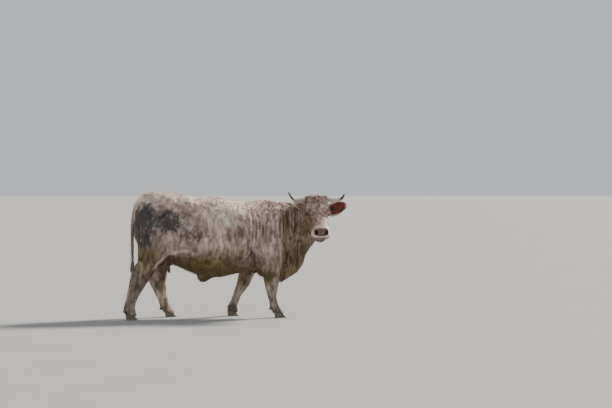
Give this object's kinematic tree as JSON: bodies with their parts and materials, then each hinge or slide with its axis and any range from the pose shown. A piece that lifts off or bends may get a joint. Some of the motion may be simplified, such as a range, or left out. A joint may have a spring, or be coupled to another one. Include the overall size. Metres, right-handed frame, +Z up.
{
  "type": "cow",
  "caption": "Still life-size model of a heavy cream-white beef cow with short horns, standing in mid-stride on four cloven feet with its head turned to its right",
  "frame": {"origin": "Centre of the whole cow's bounding box, on the floor that its hooves stand on", "axes": "+X is the way the body faces, +Y is the cow's left side, +Z is up; the head is turned to the cow's right, toward -Y"},
  "size_m": [2.6248, 0.9672, 1.4734],
  "materials": {
    "hide": "short dense hair coat, matte",
    "tail_hair": "long coarse hair, matte",
    "bare_skin": "bare skin, satin",
    "horn": "satin horn",
    "hoof": "satin horn",
    "eye": "wet gloss"
  },
  "bodies": {
    "root": {"trunk": "hide", "neck": "hide", "head": "hide", "tail": "hide", "ear_left": "hide", "ear_right": "hide", "leg_hind_right": "hide", "leg_hind_left": "hide", "leg_fore_right": "hide", "leg_fore_left": "hide", "tail_switch": "tail_hair", "udder": "bare_skin", "eye_left": "eye", "horn_left": "horn", "eye_right": "eye", "horn_right": "horn", "hoof_hind_right_outer": "hoof", "dewclaw_hind_right_outer": "hoof", "hoof_hind_right_inner": "hoof", "dewclaw_hind_right_inner": "hoof", "hoof_hind_left_outer": "hoof", "dewclaw_hind_left_outer": "hoof", "hoof_hind_left_inner": "hoof", "dewclaw_hind_left_inner": "hoof", "hoof_fore_right_outer": "hoof", "dewclaw_fore_right_outer": "hoof", "hoof_fore_right_inner": "hoof", "dewclaw_fore_right_inner": "hoof", "hoof_fore_left_outer": "hoof", "dewclaw_fore_left_outer": "hoof", "hoof_fore_left_inner": "hoof", "dewclaw_fore_left_inner": "hoof"}
  },
  "joints": []
}
